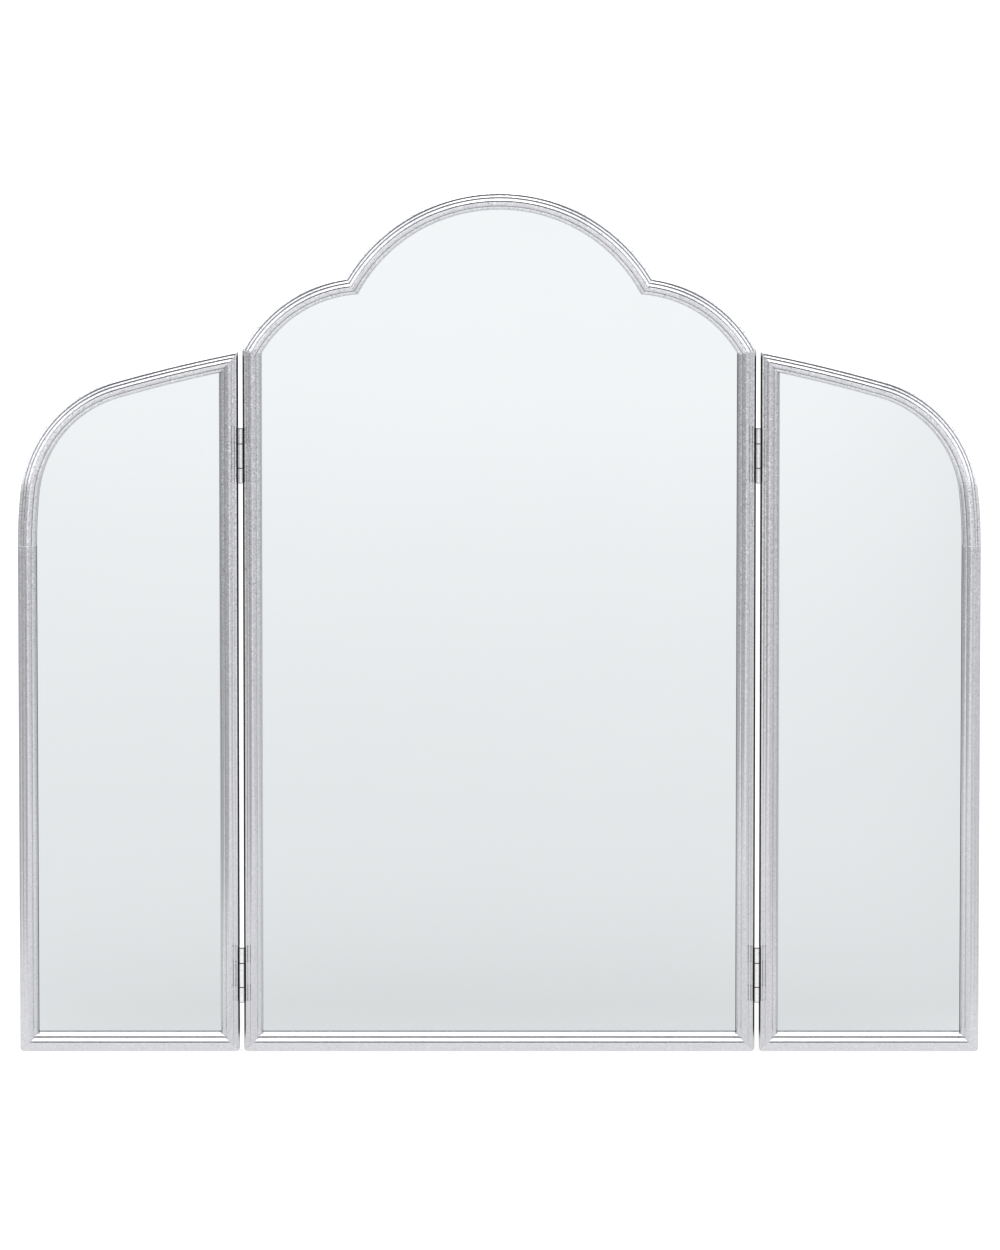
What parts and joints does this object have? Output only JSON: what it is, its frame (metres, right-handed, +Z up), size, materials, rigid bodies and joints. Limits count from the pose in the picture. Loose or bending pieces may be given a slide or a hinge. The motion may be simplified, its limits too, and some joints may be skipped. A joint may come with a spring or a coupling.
{
  "type": "folding dressing table mirror",
  "caption": "Free-standing folding mirror for a dressing table: a crowned centre panel with a hinged wing on each side, in reeded silver moulding.",
  "frame": {"origin": "on the table, under the middle of the centre panel's bottom rail", "axes": "+X to the viewer's right, +Y to the back (the glass faces -Y), +Z up"},
  "size_m": [0.864, 0.0231, 0.786],
  "materials": {
    "silver_paint": "wood moulding in satin silver metallic paint with a fine sparkle",
    "silvered_glass": "polished, silvered on the back",
    "hardboard": "plain brown hardboard",
    "zinc_steel": "zinc-plated",
    "hinge_steel": "nickel-plated, satin"
  },
  "bodies": {
    "centre": {"centre_backing_board": "hardboard", "centre_backing_clips": "zinc_steel", "centre_bottom_rail": "silver_paint", "centre_clip_screws": "zinc_steel", "centre_corner_nails": "zinc_steel", "centre_crown": "silver_paint", "centre_hinge_screws": "hinge_steel", "centre_left_shoulder": "silver_paint", "centre_left_stile": "silver_paint", "centre_mirror_glass": "silvered_glass", "centre_right_shoulder": "silver_paint", "centre_right_stile": "silver_paint", "lower_left_hinge_centre_leaf": "hinge_steel", "lower_left_hinge_pin": "hinge_steel", "lower_right_hinge_centre_leaf": "hinge_steel", "lower_right_hinge_pin": "hinge_steel", "upper_left_hinge_centre_leaf": "hinge_steel", "upper_left_hinge_pin": "hinge_steel", "upper_right_hinge_centre_leaf": "hinge_steel", "upper_right_hinge_pin": "hinge_steel"},
    "left_wing": {"left_wing_backing_board": "hardboard", "left_wing_backing_clips": "zinc_steel", "left_wing_bottom_rail": "silver_paint", "left_wing_clip_screws": "zinc_steel", "left_wing_corner_nails": "zinc_steel", "left_wing_hinge_screws": "hinge_steel", "left_wing_hinge_stile": "silver_paint", "left_wing_mirror_glass": "silvered_glass", "left_wing_outer_stile": "silver_paint", "left_wing_top_rail": "silver_paint", "lower_left_hinge_wing_leaf": "hinge_steel", "upper_left_hinge_wing_leaf": "hinge_steel"},
    "right_wing": {"lower_right_hinge_wing_leaf": "hinge_steel", "right_wing_backing_board": "hardboard", "right_wing_backing_clips": "zinc_steel", "right_wing_bottom_rail": "silver_paint", "right_wing_clip_screws": "zinc_steel", "right_wing_corner_nails": "zinc_steel", "right_wing_hinge_screws": "hinge_steel", "right_wing_hinge_stile": "silver_paint", "right_wing_mirror_glass": "silvered_glass", "right_wing_outer_stile": "silver_paint", "right_wing_top_rail": "silver_paint", "upper_right_hinge_wing_leaf": "hinge_steel"}
  },
  "joints": [
    {"name": "left_wing_fold", "type": "hinge", "parent": "centre", "child": "left_wing", "pos_m": [-0.232, -0.0095, 0.309], "axis": [0, 0, 1], "range_deg": [-8, 180]},
    {"name": "right_wing_fold", "type": "hinge", "parent": "centre", "child": "right_wing", "pos_m": [0.232, -0.0095, 0.309], "axis": [0, 0, -1], "range_deg": [-8, 180]}
  ]
}
